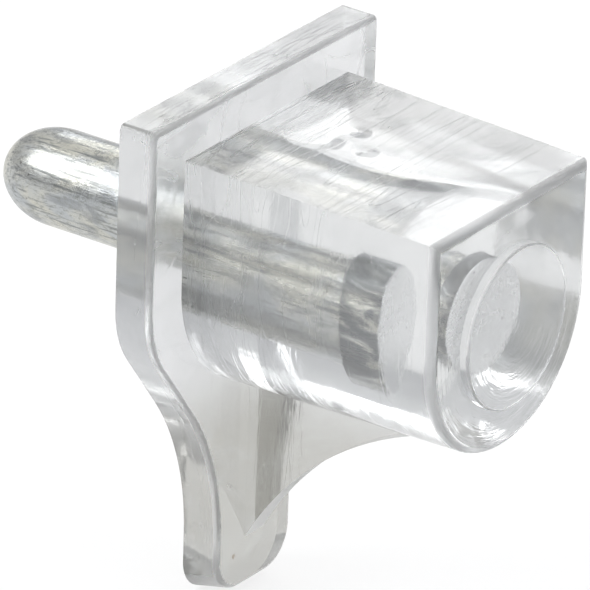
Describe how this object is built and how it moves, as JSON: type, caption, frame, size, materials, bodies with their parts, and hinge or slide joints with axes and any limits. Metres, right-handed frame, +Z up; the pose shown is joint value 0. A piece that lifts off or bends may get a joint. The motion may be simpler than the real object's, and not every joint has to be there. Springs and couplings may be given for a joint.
{
  "type": "shelf support pin",
  "caption": "Clear moulded shelf support with a flat seat, a stop plate, a ribbed leg and a steel pin that plugs into a hole in a cabinet side.",
  "frame": {"origin": "on the pin's axis, at the back face of the wall plate, where the part meets the cabinet side", "axes": "+X out of the cabinet side towards the free end of the seat, +Z up out of the shelf seat, +Y across the seat"},
  "size_m": [0.0309, 0.019, 0.0282],
  "materials": {
    "clear_plastic": "clear, glossy, lightly scratched",
    "plated_steel": "zinc plated, drawn lengthwise, lightly scratched"
  },
  "bodies": {
    "root": {"clear_body": "clear_plastic", "steel_pin": "plated_steel"}
  },
  "joints": []
}
